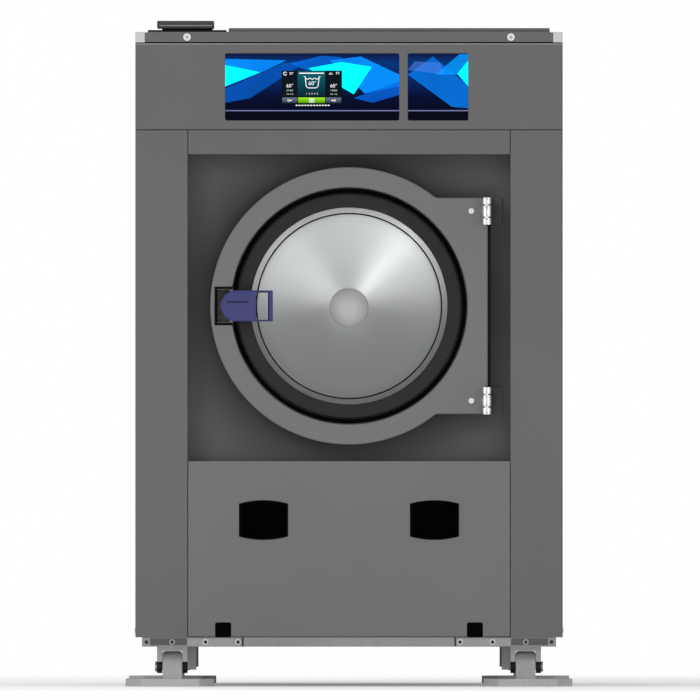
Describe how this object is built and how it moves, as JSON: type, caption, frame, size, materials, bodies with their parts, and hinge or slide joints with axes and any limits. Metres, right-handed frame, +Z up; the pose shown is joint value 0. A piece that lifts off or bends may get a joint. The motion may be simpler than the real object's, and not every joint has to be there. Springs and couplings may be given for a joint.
{
  "type": "industrial washing machine",
  "caption": "Soft-mount front-loading industrial washer: floating tub on springs, belt-driven drum, round glazed door, top soap hopper, clevis feet.",
  "frame": {"origin": "centre of the bounding box at floor level", "axes": "+Z up, the door faces -Y, +X to the right as seen from the front"},
  "size_m": [1.14, 1.271, 1.698],
  "materials": {
    "frame_paint": "satin",
    "casing_paint": "satin",
    "dark_paint": "satin",
    "zinc": "satin",
    "stainless": "brushed",
    "polished": "polished",
    "iron": "matt",
    "alloy": "matt",
    "rubber": "matt",
    "black_plastic": "matt",
    "housing_plastic": "matt",
    "indigo_plastic": "satin",
    "fascia": "gloss",
    "screen": "gloss",
    "glass": "clear",
    "pale_bracket": "satin"
  },
  "bodies": {
    "cabinet": {"base_frame": "frame_paint", "foot_plates": "zinc", "foot_clevises": "frame_paint", "foot_pins": "zinc", "foot_bushes": "rubber", "load_cells": "dark_paint", "base_brackets": "zinc", "base_bolts": "polished", "left_column": "casing_paint", "right_column": "casing_paint", "left_side_panel": "casing_paint", "right_side_panel": "casing_paint", "rear_panel": "casing_paint", "top_cover": "casing_paint", "corner_brackets": "pale_bracket", "upper_strip": "casing_paint", "control_panel": "casing_paint", "display_fascia": "fascia", "touch_screen": "screen", "side_fascia": "fascia", "lower_panel": "casing_paint", "left_grip": "black_plastic", "right_grip": "black_plastic", "panel_catches": "black_plastic", "cover_screws": "polished", "dispenser_box": "black_plastic", "electrical_box": "zinc", "water_valves": "alloy", "damper_tubes": "frame_paint", "springs": "iron", "drain_valve": "housing_plastic", "drain_bellows": "rubber"},
    "tub_unit": {"tub_shell": "stainless", "tub_front_plate": "dark_paint", "tub_back_plate": "stainless", "bearing_housing": "iron", "bearings": "polished", "shaft_seal": "rubber", "door_lock": "housing_plastic", "hinge_brackets": "polished", "hinge_pins": "zinc", "motor_body": "alloy", "heating_elements": "stainless", "tub_cradle": "frame_paint", "damper_rods": "polished", "drive_belt": "rubber"},
    "drum": {"drum_shell": "stainless", "drum_back": "stainless", "drum_lifters": "stainless", "drum_spider": "iron", "drum_pulley": "iron"},
    "motor_rotor": {"motor_pulley": "iron"},
    "door": {"door_ring": "casing_paint", "door_glass": "glass", "door_gasket": "rubber", "hinge_leaves": "polished", "handle_housing": "housing_plastic", "handle_pin": "zinc"},
    "handle": {"door_handle": "indigo_plastic"},
    "hopper_lid": {"dispenser_lid": "housing_plastic"}
  },
  "joints": [
    {"name": "suspension", "type": "slide", "parent": "cabinet", "child": "tub_unit", "axis": [0, 0, 1], "range_m": [-0.02, 0.02], "stiffness_N_per_m": 150000, "springref_m": 0.03291, "deforming": ["springs", "drain_bellows"]},
    {"name": "drum_spin", "type": "hinge", "parent": "tub_unit", "child": "drum", "pos_m": [0, 0.2855, 0.97], "axis": [0, 1, 0], "continuous": true},
    {"name": "motor_spin", "type": "hinge", "parent": "tub_unit", "child": "motor_rotor", "pos_m": [0.24, 0.4505, 0.275], "axis": [0, 1, 0], "continuous": true},
    {"name": "door_swing", "type": "hinge", "parent": "tub_unit", "child": "door", "pos_m": [0.351, -0.6225, 0.97], "axis": [0, 0, 1], "range_deg": [0, 130]},
    {"name": "handle_turn", "type": "hinge", "parent": "door", "child": "handle", "pos_m": [-0.3, -0.5995, 0.97], "axis": [0, 0, -1], "range_deg": [0, 25], "stiffness_Nm_per_rad": 2},
    {"name": "hopper_lid_lift", "type": "hinge", "parent": "cabinet", "child": "hopper_lid", "pos_m": [-0.413, -0.3315, 1.681], "axis": [-1, 0, 0], "range_deg": [0, 100]}
  ],
  "couplings": [
    {"joint": "motor_spin", "follows": "drum_spin", "ratio": 4.6667}
  ]
}
